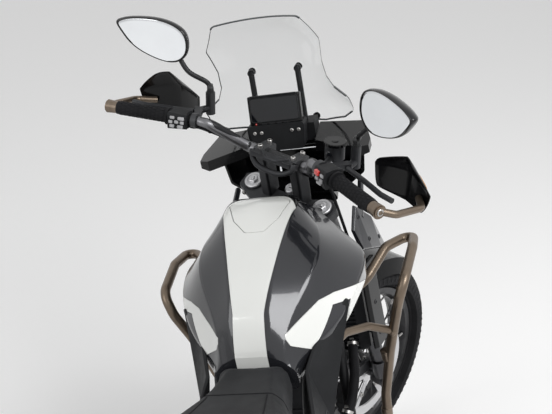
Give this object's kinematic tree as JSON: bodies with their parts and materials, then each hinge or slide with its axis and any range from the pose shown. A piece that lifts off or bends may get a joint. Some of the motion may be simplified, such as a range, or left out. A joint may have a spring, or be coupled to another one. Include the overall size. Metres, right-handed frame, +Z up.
{
  "type": "adventure motorcycle",
  "caption": "Adventure motorcycle leaning on its side stand: spoked wheels, tall clear screen, hand guards, crash bars and a two-piece seat.",
  "frame": {"origin": "on the floor below the middle of the parked motorcycle's box", "axes": "+X forward along the motorcycle's length, +Y to its left, +Z up from the floor"},
  "size_m": [2.1311, 0.8533, 1.4556],
  "materials": {
    "black_plastic": "gloss",
    "bronze": "satin bronze",
    "cast": "dark cast",
    "clear": "clear",
    "disc": "ground steel",
    "fork": "anodised",
    "frame_paint": "satin black",
    "graphite": "gloss",
    "lamp": "clear",
    "matte": "grained",
    "red_lamp": "gloss",
    "rim": "satin black",
    "rubber": "ribbed rubber",
    "seat": "grained vinyl",
    "steel": "steel",
    "tyre": "matt rubber",
    "white": "gloss"
  },
  "bodies": {
    "frame": {"main_frame": "frame_paint", "subframe": "frame_paint", "engine": "cast", "radiator": "cast", "exhaust_header": "steel", "silencer": "steel", "rear_axle": "steel", "swingarm": "cast", "shock_absorber": "steel", "chain": "steel", "footpegs": "cast", "skid_plate": "cast", "tank_collar": "black_plastic", "tank_cover": "white", "side_accent_left": "white", "tank_side_left": "graphite", "side_accent_right": "white", "tank_side_right": "graphite", "side_fairing_left": "graphite", "radiator_shroud_left": "black_plastic", "side_panel_left": "matte", "side_fairing_right": "graphite", "radiator_shroud_right": "black_plastic", "side_panel_right": "matte", "front_cowl": "black_plastic", "headlamp": "lamp", "windscreen": "clear", "display": "black_plastic", "screen_mount": "matte", "rider_seat": "seat", "pillion_seat": "seat", "tail_covers": "matte", "tail_lamp": "red_lamp", "rear_fender": "matte", "rear_rack": "matte", "crash_bar_left": "bronze", "crash_bar_right": "bronze"},
    "front_wheel": {"front_tyre": "tyre", "front_rim": "rim", "front_discs": "disc"},
    "rear_wheel": {"rear_tyre": "tyre", "rear_rim": "rim", "rear_disc": "disc", "rear_sprocket": "steel"},
    "front_end": {"fork_legs": "fork", "upper_yoke": "cast", "lower_yoke": "cast", "handlebar": "frame_paint", "grips": "rubber", "bar_ends": "bronze", "switchgear": "matte", "levers": "cast", "mirrors": "black_plastic", "handguards": "black_plastic", "front_fender": "black_plastic", "front_calipers": "cast", "brake_hoses": "rubber"},
    "side_stand": {"side_stand": "frame_paint"},
    "fuel_lid": {"fuel_lid": "white"}
  },
  "joints": [
    {"name": "steering", "type": "hinge", "parent": "frame", "child": "front_end", "pos_m": [0.43161, -0.04695, 0.90697], "axis": [-0.4578, 0.1788, 0.8709], "range_deg": [0, 60.6]},
    {"name": "front_wheel_spin", "type": "hinge", "parent": "front_end", "child": "front_wheel", "pos_m": [0.7654, -0.18063, 0.32862], "axis": [0.4486, 0.8922, 0.0527], "continuous": true},
    {"name": "rear_wheel_spin", "type": "hinge", "parent": "frame", "child": "rear_wheel", "pos_m": [-0.72744, -0.16581, 0.32791], "axis": [0, 0.9796, -0.2011], "continuous": true},
    {"name": "side_stand_fold", "type": "hinge", "parent": "frame", "child": "side_stand", "pos_m": [-0.05749, -0.05701, 0.22141], "axis": [0.0961, 0.8169, 0.5688], "range_deg": [0, 97.6]},
    {"name": "fuel_lid_hinge", "type": "hinge", "parent": "frame", "child": "fuel_lid", "pos_m": [0.27706, -0.0156, 1.05967], "axis": [0, 0.9796, -0.2011], "range_deg": [0, 80]}
  ]
}
